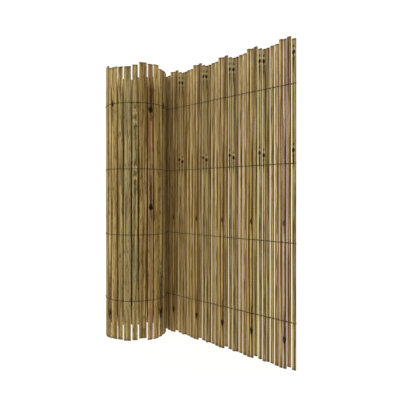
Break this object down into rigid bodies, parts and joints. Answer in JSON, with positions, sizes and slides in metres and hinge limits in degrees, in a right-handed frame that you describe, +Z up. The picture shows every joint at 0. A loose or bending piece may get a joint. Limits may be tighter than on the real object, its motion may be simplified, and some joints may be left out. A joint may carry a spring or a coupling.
{
  "type": "bamboo fence panel",
  "caption": "Bamboo slat fencing held by rows of twisted wire, standing on its end with a flat stretch and the rest wound into an open roll.",
  "frame": {"origin": "on the ground, under the middle of the bounding box", "axes": "+Z up along the slats, +X along the flat stretch towards its free end, the roll on the -Y side"},
  "size_m": [0.7862, 0.235, 1.017],
  "materials": {
    "bamboo": "matte, weathered split bamboo, inner side",
    "bamboo_outer": "satin, weathered split bamboo, skin side",
    "binding_wire": "dull, brown with rust"
  },
  "bodies": {
    "root": {"slat_01": "bamboo", "slat_02": "bamboo", "slat_03": "bamboo", "slat_04": "bamboo", "slat_05": "bamboo", "slat_06": "bamboo", "slat_07": "bamboo", "slat_08": "bamboo", "slat_09": "bamboo", "slat_10": "bamboo", "slat_11": "bamboo", "slat_12": "bamboo", "slat_13": "bamboo", "slat_14": "bamboo", "slat_15": "bamboo", "slat_16": "bamboo", "slat_17": "bamboo", "slat_18": "bamboo", "slat_19": "bamboo", "slat_20": "bamboo", "slat_21": "bamboo", "slat_22": "bamboo", "slat_23": "bamboo", "slat_24": "bamboo", "slat_25": "bamboo", "slat_26": "bamboo", "slat_27": "bamboo", "slat_28": "bamboo", "slat_29": "bamboo", "slat_30": "bamboo", "slat_31": "bamboo", "slat_32": "bamboo", "slat_33": "bamboo", "slat_34": "bamboo", "slat_35": "bamboo", "slat_36": "bamboo", "slat_37": "bamboo", "slat_38": "bamboo", "slat_39": "bamboo", "slats_40_41": "bamboo_outer", "slats_42_43": "bamboo_outer", "slats_44_45": "bamboo_outer", "slats_46_47": "bamboo_outer", "slats_48_49": "bamboo_outer", "slats_50_51": "bamboo_outer", "slats_52_53": "bamboo_outer", "slats_54_55": "bamboo_outer", "slats_56_57": "bamboo_outer", "slats_58_59": "bamboo_outer", "slats_60_61": "bamboo_outer", "slats_62_63": "bamboo_outer", "slats_64_65": "bamboo_outer", "wire_row_1_a": "binding_wire", "wire_row_1_b": "binding_wire", "wire_row_2_a": "binding_wire", "wire_row_2_b": "binding_wire", "wire_row_3_a": "binding_wire", "wire_row_3_b": "binding_wire", "wire_row_4_a": "binding_wire", "wire_row_4_b": "binding_wire"}
  },
  "joints": []
}
